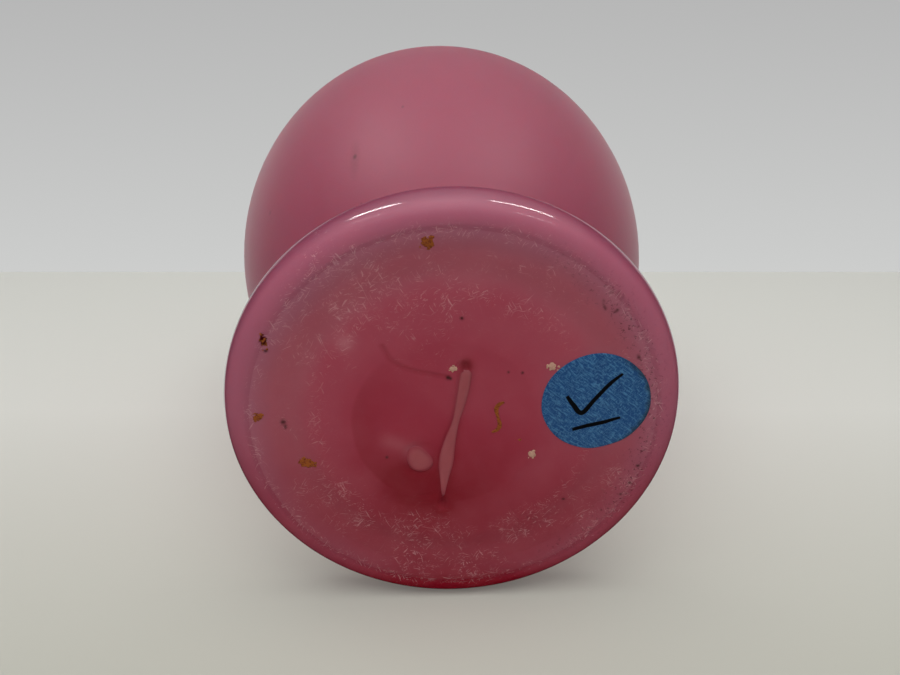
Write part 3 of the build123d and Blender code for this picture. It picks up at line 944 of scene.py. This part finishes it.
def make_ceiling():
    """A glow far above that only reflections see, fading out from its middle."""
    nodes = Nodes("ceiling_glow")
    gradient = nodes.add("ShaderNodeTexGradient", gradient_type="QUADRATIC_SPHERE")
    spread = nodes.stretch(nodes.place(), 0.0, (2.4, 2.4, 1.0))
    nodes.link(spread, gradient.inputs["Vector"])
    lamp = nodes.add("ShaderNodeEmission")
    nodes.link(nodes.math("MULTIPLY", gradient.outputs["Fac"], CEILING_GLOW), lamp.inputs["Strength"])
    nodes.link(lamp.outputs[0], nodes.tree.nodes["Material Output"].inputs["Surface"])
    wide = CEILING_HALF_WIDTH
    above = LYING @ Matrix.Translation((0, 0.05, 1.3))
    corners = [(-wide, -wide, 0), (-wide, wide, 0), (wide, wide, 0), (wide, -wide, 0)]
    glow = stage_sheet("ceiling", corners, nodes.material, above)
    glow.visible_camera = False
    glow.visible_diffuse = False
    glow.visible_shadow = False
    glow.visible_transmission = False


def area_light(name, place, aim, size, power):
    """A white area light in the table's frame, in millimetres, turned to its aim."""
    light = bpy.data.lights.new(name, "AREA")
    light.shape = "RECTANGLE"
    light.size, light.size_y = size[0] * MM, size[1] * MM
    light.energy = power
    lamp = bpy.data.objects.new(name, light)
    bpy.context.scene.collection.objects.link(lamp)
    start, end = Vector(place) * MM, Vector(aim) * MM
    turn = (end - start).to_track_quat("-Z", "Y").to_matrix().to_4x4()
    lamp.matrix_world = LYING @ Matrix.Translation(start) @ turn
    return lamp


def ceiling_row(name, start, end, count, power):
    """Lamps far off between two directions from the foot, for the dotted gleams on its rim alone."""
    rim_top = Vector((FOOT_ASIDE, FOOT_AHEAD, 2 * FOOT_RADIUS))
    for number in range(count):
        direction = Vector(start).lerp(Vector(end), number / (count - 1)).normalized()
        lamp = area_light(f"{name}_{number}", rim_top + direction * LAMP_DISTANCE, rim_top, (46, 30), power)
        lamp.visible_diffuse = False


def make_lights():
    """Soft light from above and a little in front, gleams from the ceiling, and a pale room."""
    softbox = area_light("softbox", (-30, -110, 820), (0, 150, 40), (1000, 800), SOFTBOX_POWER)
    softbox.visible_glossy = False
    ceiling_row("lamps_left", (-0.32, 0.15, 0.93), (-0.57, 0.23, 0.80), 9, 0.30)
    ceiling_row("lamps_left_dim", (-0.44, -0.26, 0.86), (-0.59, -0.14, 0.80), 4, 0.04)
    ceiling_row("lamps_right", (0.28, 0.06, 0.95), (0.60, 0.14, 0.80), 10, 0.22)
    ceiling_row("lamps_right_dim", (0.44, -0.42, 0.78), (0.62, -0.34, 0.71), 4, 0.05)
    world = bpy.data.worlds.new("pale_room")
    world.use_nodes = True
    background = world.node_tree.nodes["Background"]
    background.inputs["Color"].default_value = (0.80, 0.81, 0.82, 1)
    background.inputs["Strength"].default_value = ROOM_GLOW
    bpy.context.scene.world = world
    world.cycles_visibility.glossy = False


def make_camera():
    """The camera, a little above the lying vase and looking down at the foot."""
    camera = bpy.data.cameras.new("camera")
    camera.lens = LENS_MM
    camera.sensor_width = SENSOR_MM
    camera.clip_start, camera.clip_end = 0.01, 10.0
    holder = bpy.data.objects.new("camera", camera)
    bpy.context.scene.collection.objects.link(holder)
    look = Matrix.Rotation(math.pi / 2 - CAMERA_PITCH, 4, "X")
    holder.matrix_world = LYING @ Matrix.Translation((0, 0, CAMERA_HEIGHT * MM)) @ look
    bpy.context.scene.camera = holder


make_camera()
make_stage()
make_lights()
dress_glass()
make_foot()
make_pinch()
make_marks()
make_dot()
bpy.context.scene.view_settings.view_transform = "Standard"

bpy.context.view_layer.update()
